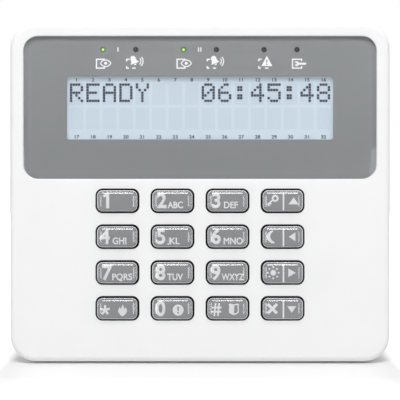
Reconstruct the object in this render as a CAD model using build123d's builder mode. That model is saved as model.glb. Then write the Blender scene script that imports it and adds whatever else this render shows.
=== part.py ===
from build123d import *
import os

# Alarm keypad panel: a two-part wall case, a character display and sixteen keys.
#
# Frame: the back of the base lies on the plane y = 0, X runs to the right as seen from the front,
# Z runs up, and the front faces -Y. A "depth" is the distance in front of the wall, so a depth of
# d is the plane y = -d. All sizes are in millimetres.

# ---------------------------------------------------------------- driving dimensions
case_width = 139.0
case_height = 124.0
case_corner = 9.6
case_wall = 2.0
front_edge_radius = 2.2

cover_rear = 3.5          # depth of the cover's rear rim
cover_face = 20.2         # depth of the flat front face
key_top = 22.0            # depth of the top of a key at rest, the deepest point of the object
plate_back = cover_face - case_wall

base_gap = 0.6            # between the base's rim and the inside of the cover
base_wall = 1.8
base_floor = 2.0
base_rim = 6.5
rib_thickness = 1.2
cross_rib_places = (44.0, 18.0, -44.0)
upright_rib_x = 58.0
upright_rib_z = -13.0
rib_height = 61.0

window_width = 128.6
window_height = 52.0
window_corner = 5.4
window_z = 30.8
window_ledge = 3.2
window_seat = 19.0        # depth of the ledge that the printed film lies on
window_front = 20.8
window_bevel = 3.4
window_bevel_height = 0.5
window_clearance = 0.1

film_thickness = 0.2
print_gap = 0.05          # room for the ink between the film and the window

view_width = 97.2
view_height = 23.0
view_corner = 0.9
view_z = 30.7

key_columns = 4
key_rows = 4
key_pitch_x = 20.04
key_pitch_z = 13.04
key_block_z = -22.75      # height of the middle of the key block
key_opening_width = 16.0
key_opening_height = 9.0
key_opening_corner = 2.6
key_gap = 0.7
key_flange_overlap = 0.8
key_flange_depth = 17.0
key_flange_thickness = 1.0
key_rim_depth = 21.5      # depth of the rim round a key's raised middle
key_rim_width = 0.85
key_rim_radius = 0.4
key_crown_radius = 0.45

board_width = 130.0
board_height = 117.0
board_corner = 6.0
board_back = 12.0
board_front = 13.6
board_hole_radius = 1.2
boss_radius = 2.3
boss_hole_radius = 0.95
boss_hole_depth = 3.6
screw_head_radius = 2.1
screw_head_height = 1.4
screw_shank_radius = 0.9
screw_length = 5.0
screw_recess_length = 2.4
screw_recess_width = 0.5
screw_recess_depth = 0.8

led_row_z = 52.0
led_pair_offset = 6.0
led_group_pitch = 29.4
led_radius = 0.95
led_clearance = 0.05

hinge_depth = 4.5
hinge_z = 61.0
hinge_pin_radius = 0.5
hinge_pin_length = 10.0
hinge_tab_x = 40.0
hinge_tab_width = 8.0
hinge_tab_thickness = 1.0
hinge_hole_clearance = 0.05
hinge_end_slack = 0.3
hinge_notch_depth = 2.1

latch_x = 32.0
latch_width = 10.0
latch_thickness = 1.2
latch_tip = 10.4
latch_nose_start = 8.6
latch_nose_height = 1.4
latch_nose_flat = 0.5
latch_slot_slack = 0.3
latch_slot_reach = 0.4

wall_hole_radius = 2.25
wall_hole_pitch_x = 84.0
wall_hole_pitch_z = 60.0
wall_hole_pad_radius = 5.0
wall_hole_pad_height = 1.0
box_slot_pad_edge = 2.0
box_slot_length = 9.0
box_slot_width = 4.2
box_slot_pitch = 60.0
box_slot_z = 26.0
cable_entry_width = 44.0
cable_entry_height = 20.0
cable_entry_z = -12.0
cable_entry_corner = 2.0
cable_entry_lip = 1.5
breakout_width = 14.0
breakout_groove = 0.8

tamper_x = -45.0
tamper_z = -38.0
plunger_radius = 1.4
plunger_tip = 2.3
plunger_inner_end = 10.6
tamper_case_size = 7.0
tamper_case_back = 7.6

# ---------------------------------------------------------------- worked-out sizes
inner_width = case_width - 2 * case_wall
inner_height = case_height - 2 * case_wall
inner_corner = case_corner - case_wall
base_width = inner_width - 2 * base_gap
base_height = inner_height - 2 * base_gap
base_corner = inner_corner - base_gap
window_opening_width = window_width - 2 * window_ledge
window_opening_height = window_height - 2 * window_ledge
key_width = key_opening_width - 2 * key_gap
key_height = key_opening_height - 2 * key_gap
key_corner = key_opening_corner - key_gap
key_middle = (0, key_block_z)
led_places = [
    (group * led_group_pitch + side * led_pair_offset, led_row_z)
    for group in (-1, 0, 1)
    for side in (-1, 1)
]
boss_places = [(-45, 56.4), (45, 56.4), (-62, -2), (62, -2), (-58, -52), (58, -52)]

os.makedirs("parts", exist_ok=True)


def facing(depth):
    """The plane parallel to the wall at this depth; extruding from it goes towards the front."""
    return Plane.XZ.offset(depth)


def across(x):
    """The plane square to X at x, with Y along its first axis and Z along its second."""
    return Plane.YZ.offset(x)


def key_locations():
    """The middles of the sixteen keys, inside a sketch on a facing plane."""
    return [
        (
            (column - (key_columns - 1) / 2) * key_pitch_x,
            key_block_z + ((key_rows - 1) / 2 - row) * key_pitch_z,
        )
        for row in range(key_rows)
        for column in range(key_columns)
    ]


def save(piece, name):
    """Labels a finished piece and writes it as a node of its own."""
    piece.part.label = name
    export_step(piece.part, f"parts/{name}.step")


# ================================================================ base, fixed to the wall
with BuildPart() as rear_base:
    with BuildSketch(facing(0)):
        RectangleRounded(base_width, base_height, base_corner)
    extrude(amount=base_rim)
    with BuildSketch(facing(base_floor)):
        RectangleRounded(
            base_width - 2 * base_wall, base_height - 2 * base_wall, base_corner - base_wall
        )
    extrude(amount=base_rim - base_floor, mode=Mode.SUBTRACT)

    # raised pads under the heads of the wall screws, and a lip round the cable entry
    with BuildSketch(facing(base_floor)):
        with GridLocations(wall_hole_pitch_x, wall_hole_pitch_z, 2, 2):
            Circle(wall_hole_pad_radius)
        with GridLocations(box_slot_pitch, 1, 2, 1):
            with Locations((0, box_slot_z)):
                SlotOverall(
                    box_slot_length + 2 * box_slot_pad_edge, box_slot_width + 2 * box_slot_pad_edge
                )
        with Locations((0, cable_entry_z)):
            RectangleRounded(
                cable_entry_width + 2 * cable_entry_lip,
                cable_entry_height + 2 * cable_entry_lip,
                cable_entry_corner + cable_entry_lip,
            )
    extrude(amount=wall_hole_pad_height)

    # stiffening ribs across the floor, above and below the cable entry
    with BuildSketch(facing(base_floor)):
        with Locations(*[(0, rib_z) for rib_z in cross_rib_places]):
            Rectangle(base_width - 2 * base_wall, rib_thickness)
        with Locations((-upright_rib_x, upright_rib_z), (upright_rib_x, upright_rib_z)):
            Rectangle(rib_thickness, rib_height)
    extrude(amount=wall_hole_pad_height)

    with BuildSketch(facing(0)):
        with GridLocations(wall_hole_pitch_x, wall_hole_pitch_z, 2, 2):
            Circle(wall_hole_radius)
        with GridLocations(box_slot_pitch, 1, 2, 1):
            with Locations((0, box_slot_z)):
                SlotOverall(box_slot_length, box_slot_width)
        with Locations((0, cable_entry_z)):
            RectangleRounded(cable_entry_width, cable_entry_height, cable_entry_corner)
    extrude(amount=base_rim, mode=Mode.SUBTRACT)

    # shallow grooves outlining a break-out in the lower rim, for a cable run on the wall's surface
    with BuildSketch(Plane.XY.offset(-base_height / 2)):
        with Locations((-breakout_width / 2, 0), (breakout_width / 2, 0)):
            Rectangle(breakout_groove, 2 * base_rim)
    extrude(amount=base_wall / 2, mode=Mode.SUBTRACT)

    # hinge tabs on the top edge, each with a pin end standing out on both sides
    with BuildSketch(facing(hinge_depth - hinge_tab_thickness / 2)):
        with Locations((-hinge_tab_x, base_height / 2), (hinge_tab_x, base_height / 2)):
            Rectangle(
                hinge_tab_width,
                hinge_z + hinge_pin_radius - base_height / 2,
                align=(Align.CENTER, Align.MIN),
            )
    extrude(amount=hinge_tab_thickness)
    for tab_x in (-hinge_tab_x, hinge_tab_x):
        with BuildSketch(across(tab_x - hinge_pin_length / 2)):
            with Locations((-hinge_depth, hinge_z)):
                Circle(hinge_pin_radius)
        extrude(amount=hinge_pin_length)
save(rear_base, "rear_base")

# Two tongues on the front of the base's lower rim. Their noses sit in the cover's lower slots.
with BuildPart() as snap_latches:
    with BuildSketch(facing(base_rim)):
        with Locations((-latch_x, -base_height / 2), (latch_x, -base_height / 2)):
            Rectangle(latch_width, latch_thickness, align=(Align.CENTER, Align.MIN))
    extrude(amount=latch_tip - base_rim)
    for tongue_x in (-latch_x, latch_x):
        with BuildSketch(across(tongue_x - latch_width / 2 + latch_nose_flat)):
            with BuildLine():
                Polyline(
                    (-latch_nose_start, -base_height / 2),
                    (-latch_nose_start, -base_height / 2 - latch_nose_height),
                    (-latch_nose_start - latch_nose_flat, -base_height / 2 - latch_nose_height),
                    (-latch_tip, -base_height / 2),
                    close=True,
                )
            make_face()
        extrude(amount=latch_width - 2 * latch_nose_flat)
save(snap_latches, "snap_latches")

# ================================================================ front cover and window
with BuildPart() as front_cover:
    with BuildSketch(facing(cover_rear)):
        RectangleRounded(case_width, case_height, case_corner)
    extrude(amount=cover_face - cover_rear)
    fillet(front_cover.faces().sort_by(Axis.Y)[0].edges(), radius=front_edge_radius)
    with BuildSketch(facing(cover_rear)):
        RectangleRounded(inner_width, inner_height, inner_corner)
    extrude(amount=plate_back - cover_rear, mode=Mode.SUBTRACT)

    # bosses that the circuit board is screwed to
    with BuildSketch(facing(board_front)):
        with Locations(*boss_places):
            Circle(boss_radius)
    extrude(amount=plate_back - board_front)
    with BuildSketch(facing(board_front)):
        with Locations(*boss_places):
            Circle(boss_hole_radius)
    extrude(amount=boss_hole_depth, mode=Mode.SUBTRACT)

    # seat of the window, and the opening behind it
    with BuildSketch(facing(window_seat)):
        with Locations((0, window_z)):
            RectangleRounded(
                window_width + 2 * window_clearance,
                window_height + 2 * window_clearance,
                window_corner + window_clearance,
            )
    extrude(amount=cover_face - window_seat, mode=Mode.SUBTRACT)
    with BuildSketch(facing(plate_back)):
        with Locations((0, window_z)):
            RectangleRounded(
                window_opening_width, window_opening_height, window_corner - window_ledge
            )
    extrude(amount=window_seat - plate_back, mode=Mode.SUBTRACT)

    with BuildSketch(facing(plate_back)):
        with Locations(*key_locations()):
            RectangleRounded(key_opening_width, key_opening_height, key_opening_corner)
    extrude(amount=case_wall, mode=Mode.SUBTRACT)

    # notches and pin holes for the hinge tabs, in the rear of the top wall
    with BuildSketch(facing(cover_rear)):
        with Locations((-hinge_tab_x, inner_height / 2), (hinge_tab_x, inner_height / 2)):
            Rectangle(hinge_tab_width + 2 * hinge_end_slack, 2 * case_wall)
    extrude(amount=hinge_notch_depth, mode=Mode.SUBTRACT)
    for tab_x in (-hinge_tab_x, hinge_tab_x):
        with BuildSketch(across(tab_x - hinge_pin_length / 2 - hinge_end_slack)):
            with Locations((-hinge_depth, hinge_z)):
                Circle(hinge_pin_radius + hinge_hole_clearance)
        extrude(amount=hinge_pin_length + 2 * hinge_end_slack, mode=Mode.SUBTRACT)

    # slots for the noses of the snap latches, through the bottom wall
    with BuildSketch(Plane.XY.offset(-case_height / 2)):
        with Locations(
            (-latch_x, -(latch_nose_start + latch_tip) / 2),
            (latch_x, -(latch_nose_start + latch_tip) / 2),
        ):
            Rectangle(
                latch_width + 2 * latch_slot_slack,
                latch_tip - latch_nose_start + 2 * latch_slot_reach,
            )
    extrude(amount=case_wall, mode=Mode.SUBTRACT)
save(front_cover, "front_cover")

with BuildPart() as window_film:
    with BuildSketch(facing(window_seat)):
        with Locations((0, window_z)):
            RectangleRounded(
                window_width - 2 * window_clearance,
                window_height - 2 * window_clearance,
                window_corner - window_clearance,
            )
        with Locations((0, view_z)):
            RectangleRounded(view_width, view_height, view_corner, mode=Mode.SUBTRACT)
        with Locations(*led_places):
            Circle(led_radius + led_clearance, mode=Mode.SUBTRACT)
    extrude(amount=film_thickness)
save(window_film, "window_film")

with BuildPart() as display_window:
    with BuildSketch(facing(window_seat + film_thickness + print_gap)):
        with Locations((0, window_z)):
            RectangleRounded(window_width, window_height, window_corner)
    extrude(amount=window_front - window_seat - film_thickness - print_gap)
    window_top_edges = display_window.faces().sort_by(Axis.Y)[0].edges()
    chamfer(window_top_edges, length=window_bevel_height, length2=window_bevel)
save(display_window, "display_window")

# ================================================================ display
lcd_width = 108.0
lcd_height = 33.0
lcd_back = 16.2
lcd_front = 18.2
lcd_clearance = 0.2
lcd_frame_width = 115.0
lcd_frame_height = 38.4
lcd_frame_corner = 1.5
lcd_frame_lip = 0.4
view_margin = 1.5
backlight_corner = 0.8
strip_width = 100.0
strip_height = 2.0
strip_gap = 1.0

with BuildPart() as lcd_frame:
    with BuildSketch(facing(board_front)):
        with Locations((0, view_z)):
            RectangleRounded(lcd_frame_width, lcd_frame_height, lcd_frame_corner)
    extrude(amount=lcd_front + lcd_frame_lip - board_front)
    with BuildSketch(facing(board_front)):
        with Locations((0, view_z)):
            Rectangle(lcd_width + 2 * lcd_clearance, lcd_height + 2 * lcd_clearance)
    extrude(amount=lcd_front - board_front, mode=Mode.SUBTRACT)
    with BuildSketch(facing(lcd_front)):
        with Locations((0, view_z)):
            Rectangle(view_width + 2 * view_margin, view_height + 2 * view_margin)
    extrude(amount=lcd_frame_lip, mode=Mode.SUBTRACT)
save(lcd_frame, "lcd_frame")

with BuildPart() as lcd_glass:
    with BuildSketch(facing(lcd_back)):
        with Locations((0, view_z)):
            Rectangle(lcd_width, lcd_height)
    extrude(amount=lcd_front - lcd_back)
save(lcd_glass, "lcd_glass")

with BuildPart() as lcd_backlight:
    with BuildSketch(facing(board_front)):
        with Locations((0, view_z + (strip_height + strip_gap) / 2)):
            RectangleRounded(lcd_width, lcd_height - strip_height - strip_gap, backlight_corner)
    extrude(amount=lcd_back - board_front)
save(lcd_backlight, "lcd_backlight")

with BuildPart() as lcd_contact_strip:
    with BuildSketch(facing(board_front)):
        with Locations((0, view_z - lcd_height / 2 + strip_height / 2)):
            Rectangle(strip_width, strip_height)
    extrude(amount=lcd_back - board_front)
save(lcd_contact_strip, "lcd_contact_strip")

# ================================================================ status LEDs
led_block_front = lcd_front + lcd_frame_lip
led_block_width = 76.0
led_block_height = 3.0
led_tip_radius = 0.6
led_stand_out = 0.3

with BuildPart() as led_housing:
    with BuildSketch(facing(board_front)):
        with Locations((0, led_row_z)):
            RectangleRounded(led_block_width, led_block_height, led_tip_radius)
        with Locations(*led_places):
            Circle(led_radius + led_clearance, mode=Mode.SUBTRACT)
    extrude(amount=led_block_front - board_front)
save(led_housing, "led_housing")

led_names = ["armed_1", "alarm_1", "armed_2", "alarm_2", "trouble", "service"]
for led_name, led_place in zip(led_names, led_places):
    with BuildPart() as status_led:
        with BuildSketch(facing(board_front)):
            with Locations(led_place):
                Circle(led_radius)
        extrude(amount=led_block_front + led_stand_out - board_front)
        fillet(status_led.faces().sort_by(Axis.Y)[0].edges(), radius=led_tip_radius)
    save(status_led, f"led_{led_name}")

# ================================================================ circuit board
with BuildPart() as main_board:
    with BuildSketch(facing(board_back)):
        RectangleRounded(board_width, board_height, board_corner)
        with Locations(*boss_places):
            Circle(board_hole_radius, mode=Mode.SUBTRACT)
    extrude(amount=board_front - board_back)
save(main_board, "main_board")

with BuildPart() as board_screws:
    with BuildSketch(facing(board_back - screw_head_height)):
        with Locations(*boss_places):
            Circle(screw_head_radius)
    extrude(amount=screw_head_height)
    fillet(board_screws.faces().sort_by(Axis.Y).edges().group_by(Axis.Y)[-1], radius=0.5)
    with BuildSketch(facing(board_back)):
        with Locations(*boss_places):
            Circle(screw_shank_radius)
    extrude(amount=screw_length)
    with BuildSketch(facing(board_back - screw_head_height)):
        with Locations(*boss_places):
            Rectangle(screw_recess_length, screw_recess_width)
            Rectangle(screw_recess_width, screw_recess_length)
    extrude(amount=screw_recess_depth, mode=Mode.SUBTRACT)
save(board_screws, "board_screws")

# ================================================================ keys
mat_width = 84.0
mat_height = 54.0
mat_corner = 3.0
mat_thickness = 1.0
dome_width = 12.5
dome_breadth = 7.0
dome_corner = 2.5
dome_wall = 0.8
dome_hollow_corner = 1.8
dome_height = key_flange_depth - board_front - mat_thickness
pill_radius = 1.3
pill_travel = 1.2         # free height under a key's pill, which the key's travel closes
backlight_led_width = 1.6
backlight_led_height = 0.8
backlight_led_thickness = 0.7
backlight_led_room = 0.5

with BuildPart() as keypad_mat:
    with BuildSketch(facing(board_front)):
        with Locations(key_middle):
            RectangleRounded(mat_width, mat_height, mat_corner)
    extrude(amount=mat_thickness)
    with BuildSketch(facing(board_front + mat_thickness)):
        with Locations(*key_locations()):
            RectangleRounded(dome_width, dome_breadth, dome_corner)
    extrude(amount=dome_height, taper=22)
    with BuildSketch(facing(board_front)):
        with Locations(*key_locations()):
            RectangleRounded(
                dome_width - 2 * dome_wall, dome_breadth - 2 * dome_wall, dome_hollow_corner
            )
    extrude(amount=dome_height + 0.3, taper=20, mode=Mode.SUBTRACT)
    with BuildSketch(facing(board_front + pill_travel)):
        with Locations(*key_locations()):
            Circle(pill_radius)
    extrude(amount=dome_height + mat_thickness - pill_travel - 0.2)
    # pockets for the backlight LEDs between the columns
    with BuildSketch(facing(board_front)):
        with Locations(key_middle):
            with GridLocations(key_pitch_x, key_pitch_z, key_columns - 1, key_rows):
                Rectangle(
                    backlight_led_width + 2 * backlight_led_room,
                    backlight_led_height + 2 * backlight_led_room,
                )
    extrude(amount=mat_thickness, mode=Mode.SUBTRACT)
save(keypad_mat, "keypad_mat")

with BuildPart() as key_backlight_leds:
    with BuildSketch(facing(board_front)):
        with Locations(key_middle):
            with GridLocations(key_pitch_x, key_pitch_z, key_columns - 1, key_rows):
                Rectangle(backlight_led_width, backlight_led_height)
    extrude(amount=backlight_led_thickness)
save(key_backlight_leds, "key_backlight_leds")

key_names = [
    "1", "2", "3", "up",
    "4", "5", "6", "left",
    "7", "8", "9", "right",
    "star", "0", "hash", "down",
]
for key_name, key_place in zip(key_names, key_locations()):
    with BuildPart() as key_cap:
        with BuildSketch(facing(key_flange_depth)):
            with Locations(key_place):
                RectangleRounded(key_width, key_height, key_corner)
        extrude(amount=key_rim_depth - key_flange_depth)
        fillet(key_cap.faces().sort_by(Axis.Y)[0].edges(), radius=key_rim_radius)
        with BuildSketch(facing(key_rim_depth)):
            with Locations(key_place):
                RectangleRounded(
                    key_width - 2 * key_rim_width,
                    key_height - 2 * key_rim_width,
                    key_corner - key_rim_width,
                )
        extrude(amount=key_top - key_rim_depth)
        fillet(key_cap.faces().sort_by(Axis.Y)[0].edges(), radius=key_crown_radius)
        with BuildSketch(facing(key_flange_depth)):
            with Locations(key_place):
                RectangleRounded(
                    key_opening_width + 2 * key_flange_overlap,
                    key_opening_height + 2 * key_flange_overlap,
                    key_opening_corner + key_flange_overlap,
                )
        extrude(amount=key_flange_thickness)
    save(key_cap, f"key_{key_name}")

# ================================================================ parts on the back of the board
terminal_ways = 7
terminal_pitch = 5.0
terminal_height = 8.0
terminal_tip = 3.6
terminal_z = 8.0
terminal_chamfer = 1.2
terminal_well_radius = 2.0
terminal_well_depth = 4.0
terminal_mouth_width = 3.4
terminal_mouth_height = 3.2
terminal_mouth_depth = 9.6
terminal_mouth_reach = 5.0
terminal_screw_radius = 1.8
terminal_screw_tip = terminal_tip + 1.2
terminal_screw_height = 2.8
terminal_slot_width = 0.6
terminal_slot_depth = 0.8

with BuildPart() as terminal_block:
    with BuildSketch(facing(terminal_tip)):
        with Locations((0, terminal_z)):
            Rectangle(terminal_ways * terminal_pitch, terminal_height)
    extrude(amount=board_back - terminal_tip)
    chamfer(
        terminal_block.faces().sort_by(Axis.Y)[-1].edges().filter_by(Axis.X).sort_by(Axis.Z)[-1],
        length=terminal_chamfer,
    )
    with BuildSketch(facing(terminal_tip)):
        with Locations((0, terminal_z)):
            with GridLocations(terminal_pitch, 1, terminal_ways, 1):
                Circle(terminal_well_radius)
    extrude(amount=terminal_well_depth, mode=Mode.SUBTRACT)
    with BuildSketch(Plane.XY.offset(terminal_z - terminal_height / 2)):
        with Locations((0, -terminal_mouth_depth)):
            with GridLocations(terminal_pitch, 1, terminal_ways, 1):
                Rectangle(terminal_mouth_width, terminal_mouth_height)
    extrude(amount=terminal_mouth_reach, mode=Mode.SUBTRACT)
save(terminal_block, "terminal_block")

with BuildPart() as terminal_screws:
    with BuildSketch(facing(terminal_screw_tip)):
        with Locations((0, terminal_z)):
            with GridLocations(terminal_pitch, 1, terminal_ways, 1):
                Circle(terminal_screw_radius)
    extrude(amount=terminal_screw_height)
    with BuildSketch(facing(terminal_screw_tip)):
        with Locations((0, terminal_z)):
            with GridLocations(terminal_pitch, 1, terminal_ways, 1):
                Rectangle(2 * terminal_screw_radius, terminal_slot_width, rotation=20)
    extrude(amount=terminal_slot_depth, mode=Mode.SUBTRACT)
save(terminal_screws, "terminal_screws")

buzzer_place = (38, 34)
buzzer_radius = 7.0
buzzer_tip = 4.6
buzzer_edge_radius = 0.8
buzzer_hole_radius = 1.1
buzzer_hole_depth = 3.0

with BuildPart() as buzzer:
    with BuildSketch(facing(buzzer_tip)):
        with Locations(buzzer_place):
            Circle(buzzer_radius)
    extrude(amount=board_back - buzzer_tip)
    fillet(buzzer.faces().sort_by(Axis.Y)[-1].edges(), radius=buzzer_edge_radius)
    with BuildSketch(facing(buzzer_tip)):
        with Locations(buzzer_place):
            Circle(buzzer_hole_radius)
    extrude(amount=buzzer_hole_depth, mode=Mode.SUBTRACT)
save(buzzer, "buzzer")

chip_size = 12.0
chip_height = 1.6
chip_middle = (-26, 33)
chip_lift = 0.15          # between the board and the underside of the processor's body
chip_leg_pitch = 1.0
chip_legs = 11
chip_leg_width = 0.4
chip_leg_length = 1.6
chip_leg_height = 0.35

with BuildPart() as processor:
    with BuildSketch(facing(board_back - chip_height)):
        with Locations(chip_middle):
            Rectangle(chip_size, chip_size)
    extrude(amount=chip_height - chip_lift)
    chamfer(processor.faces().sort_by(Axis.Y)[-1].edges(), length=0.3)
    with BuildSketch(facing(board_back - chip_leg_height)):
        with Locations(chip_middle):
            with GridLocations(chip_leg_pitch, chip_size + chip_leg_length / 2, chip_legs, 2):
                Rectangle(chip_leg_width, chip_leg_length)
            with GridLocations(chip_size + chip_leg_length / 2, chip_leg_pitch, 2, chip_legs):
                Rectangle(chip_leg_length, chip_leg_width)
    extrude(amount=chip_leg_height)
save(processor, "processor")

driver_places = [(2, 33), (-48, 14)]
driver_length = 10.0
driver_width = 4.0
driver_height = 1.5
driver_lift = 0.2
driver_leg_pitch = 1.27
driver_legs = 8
driver_leg_width = 0.45
driver_leg_length = 1.0
driver_leg_height = 0.3

with BuildPart() as driver_chips:
    with BuildSketch(facing(board_back - driver_height)):
        with Locations(*driver_places):
            Rectangle(driver_length, driver_width)
    extrude(amount=driver_height - driver_lift)
    with BuildSketch(facing(board_back - driver_leg_height)):
        with Locations(*driver_places):
            with GridLocations(driver_leg_pitch, driver_width + 0.6, driver_legs, 2):
                Rectangle(driver_leg_width, driver_leg_length)
    extrude(amount=driver_leg_height)
save(driver_chips, "driver_chips")

# Small resistors and capacitors, in rows beside the processor and above the terminals.
chip_part_length = 2.0
chip_part_width = 1.25
chip_part_height = 0.6
chip_part_gap_z = 2.4

with BuildPart() as chip_parts:
    with BuildSketch(facing(board_back - chip_part_height)):
        with Locations((-26, 44.5), (-26, 21.5)):
            with GridLocations(3.4, chip_part_gap_z, 6, 2):
                Rectangle(chip_part_length, chip_part_width)
        with Locations((0, 17)):
            with GridLocations(terminal_pitch, chip_part_gap_z, terminal_ways, 1):
                Rectangle(chip_part_length, chip_part_width)
    extrude(amount=chip_part_height)
save(chip_parts, "chip_parts")

capacitor_places = [(30, 10), (40, 10)]
capacitor_foot_size = 6.6
capacitor_foot_height = 0.8
capacitor_radius = 3.1
capacitor_tip = 4.8

with BuildPart() as capacitors:
    with BuildSketch(facing(board_back - capacitor_foot_height)):
        with Locations(*capacitor_places):
            Rectangle(capacitor_foot_size, capacitor_foot_size)
    extrude(amount=capacitor_foot_height)
    with BuildSketch(facing(capacitor_tip)):
        with Locations(*capacitor_places):
            Circle(capacitor_radius)
    extrude(amount=board_back - capacitor_foot_height - capacitor_tip)
    fillet(capacitors.faces().sort_by(Axis.Y)[-2:].edges(), radius=0.4)
save(capacitors, "capacitors")

header_place = (0, -36)
header_pins = 5
header_pitch = 2.54
header_height = 2.5
pin_size = 0.64
pin_reach = 7.5
pin_length = 5.0

with BuildPart() as service_header:
    with BuildSketch(facing(board_back - header_height)):
        with Locations(header_place):
            Rectangle(header_pins * header_pitch, header_height)
    extrude(amount=header_height)
save(service_header, "service_header")

with BuildPart() as service_header_pins:
    with BuildSketch(facing(board_back - pin_reach)):
        with Locations(header_place):
            with GridLocations(header_pitch, 1, header_pins, 1):
                Rectangle(pin_size, pin_size)
    extrude(amount=pin_length)
save(service_header_pins, "service_header_pins")

# ================================================================ tamper switch
with BuildPart() as tamper_switch:
    with BuildSketch(facing(tamper_case_back)):
        with Locations((tamper_x, tamper_z)):
            RectangleRounded(tamper_case_size, tamper_case_size, 0.6)
    extrude(amount=board_back - tamper_case_back)
    with BuildSketch(facing(tamper_case_back)):
        with Locations((tamper_x, tamper_z)):
            Circle(plunger_radius + 0.08)
    extrude(amount=plunger_inner_end + 0.3 - tamper_case_back, mode=Mode.SUBTRACT)
save(tamper_switch, "tamper_switch")

with BuildPart() as tamper_plunger:
    with BuildSketch(facing(plunger_tip)):
        with Locations((tamper_x, tamper_z)):
            Circle(plunger_radius)
    extrude(amount=plunger_inner_end - plunger_tip)
    fillet(tamper_plunger.faces().sort_by(Axis.Y)[-1].edges(), radius=0.6)
save(tamper_plunger, "tamper_plunger")
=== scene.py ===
import math

import bmesh
import bpy
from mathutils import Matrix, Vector


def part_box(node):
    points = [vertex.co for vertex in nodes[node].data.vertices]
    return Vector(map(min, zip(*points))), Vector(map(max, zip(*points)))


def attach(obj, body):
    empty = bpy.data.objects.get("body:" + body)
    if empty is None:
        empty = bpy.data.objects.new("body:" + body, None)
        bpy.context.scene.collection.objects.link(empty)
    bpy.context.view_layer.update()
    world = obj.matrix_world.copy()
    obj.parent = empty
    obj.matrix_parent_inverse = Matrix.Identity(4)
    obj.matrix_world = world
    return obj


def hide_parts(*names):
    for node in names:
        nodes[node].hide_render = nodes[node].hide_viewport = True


# Alarm keypad panel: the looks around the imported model, in metres, in the model's own frame.
# X runs right, Z up, the wall is y = 0 and the front faces -Y. A "depth" is the distance in
# front of the wall, so a depth of d is y = -d. Shapes are drawn in millimetres and scaled once.

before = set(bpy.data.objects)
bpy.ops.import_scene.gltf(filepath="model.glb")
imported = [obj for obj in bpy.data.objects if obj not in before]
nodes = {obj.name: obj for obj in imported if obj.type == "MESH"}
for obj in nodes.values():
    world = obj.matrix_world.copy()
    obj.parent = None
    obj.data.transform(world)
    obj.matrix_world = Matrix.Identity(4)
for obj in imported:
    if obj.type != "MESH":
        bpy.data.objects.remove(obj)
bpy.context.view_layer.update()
mm = 0.001


def in_mm(node):
    """A CAD node's lowest corner, highest corner and middle, in millimetres."""
    low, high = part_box(node)
    return low / mm, high / mm, (low + high) / (2 * mm)


# ---------------------------------------------------------------- sizes worked out from the frame
film_low, film_high, film_middle = in_mm("window_film")
lens_low, lens_high, lens_middle = in_mm("display_window")
case_low, case_high, case_middle = in_mm("front_cover")
film_front = -film_low.y
lens_back = -lens_high.y
lens_front = -lens_low.y
glass_front = -in_mm("lcd_glass")[0].y
case_front = -case_low.y

key_names = [
    ["1", "2", "3", "up"],
    ["4", "5", "6", "left"],
    ["7", "8", "9", "right"],
    ["star", "0", "hash", "down"],
]
led_names = ["armed_1", "alarm_1", "armed_2", "alarm_2", "trouble", "service"]

# the window and its softly rounded rim
window_corner = 5.4
lens_rim_width = 3.4
lens_rim_side = 20.47
lens_edge = 0.08

# the key cap and the core inside it, as insets from the cap's outline and depths
key_flange = 1.5
key_corner = 2.0
key_edge_radius = 0.4
key_rim_depth = 21.5
key_rim_width = 0.6
key_slope_width = 1.2
key_slope_foot = 36.0
key_slope_top = 10.0
key_core_back = 18.0
key_core_inset = 0.1
key_core_shoulder = 20.5
# the core's pale band is a painted highlight of the cap's rounded edge, and its dark band a painted
# shade line at the rim's foot
key_highlight_band_end = (0.14, 20.6)
key_print_depth = 20.9
key_shade_band = (0.32, 0.5)

# the front cover's plate, which the key openings go through
plate_thickness = 2.0

# the legends on the keys
ink_thickness = 0.03
digit_height = 5.4
letter_height = 2.35
legend_base = -2.6

# the display's cells and its column numbers
cell_count = 16
cell_pitch = 6.026
dot_pitch = 0.99
dot_size = 0.89
dot_thickness = 0.02
first_row_top = 39.84
row_pitch = 9.0
number_height = 1.3
number_bases = (40.45, 19.6)

# the signs under the lamps
sign_line = 0.45
thin_line = 0.36
sign_drop = 5.17


# ---------------------------------------------------------------- materials
def blank_material(name):
    """A new node material and its Principled shader."""
    material = bpy.data.materials.new(name)
    material.use_nodes = True
    return material, material.node_tree, material.node_tree.nodes["Principled BSDF"]


def position(tree, kind="Object"):
    """The shaded point in the frame's own coordinates, or from 0 to 1 across the object."""
    return tree.nodes.new("ShaderNodeTexCoord").outputs[kind]


def noise(tree, scale, detail=2.0):
    """A noise texture on the frame's own coordinates, with its features about 1 / scale metres wide."""
    texture = tree.nodes.new("ShaderNodeTexNoise")
    texture.inputs["Scale"].default_value = scale
    texture.inputs["Detail"].default_value = detail
    tree.links.new(position(tree), texture.inputs["Vector"])
    return texture.outputs["Fac"]


def ranged(tree, value, source, target):
    """The value moved from one range to another, and held at the ends."""
    spread = tree.nodes.new("ShaderNodeMapRange")
    spread.inputs["From Min"].default_value, spread.inputs["From Max"].default_value = source
    spread.inputs["To Min"].default_value, spread.inputs["To Max"].default_value = target
    tree.links.new(value, spread.inputs["Value"])
    return spread.outputs["Result"]


def between(tree, factor, low, high):
    """The usual middle stretch of a noise spread over low to high."""
    return ranged(tree, factor, (0.3, 0.7), (low, high))


def tinted(tree, factor, dark, light):
    """A colour that runs from dark to light with the factor."""
    ramp = tree.nodes.new("ShaderNodeValToRGB")
    ramp.color_ramp.elements[0].position = 0.3
    ramp.color_ramp.elements[1].position = 0.7
    ramp.color_ramp.elements[0].color = (*dark, 1)
    ramp.color_ramp.elements[1].color = (*light, 1)
    tree.links.new(factor, ramp.inputs["Fac"])
    return ramp.outputs["Color"]


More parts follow.
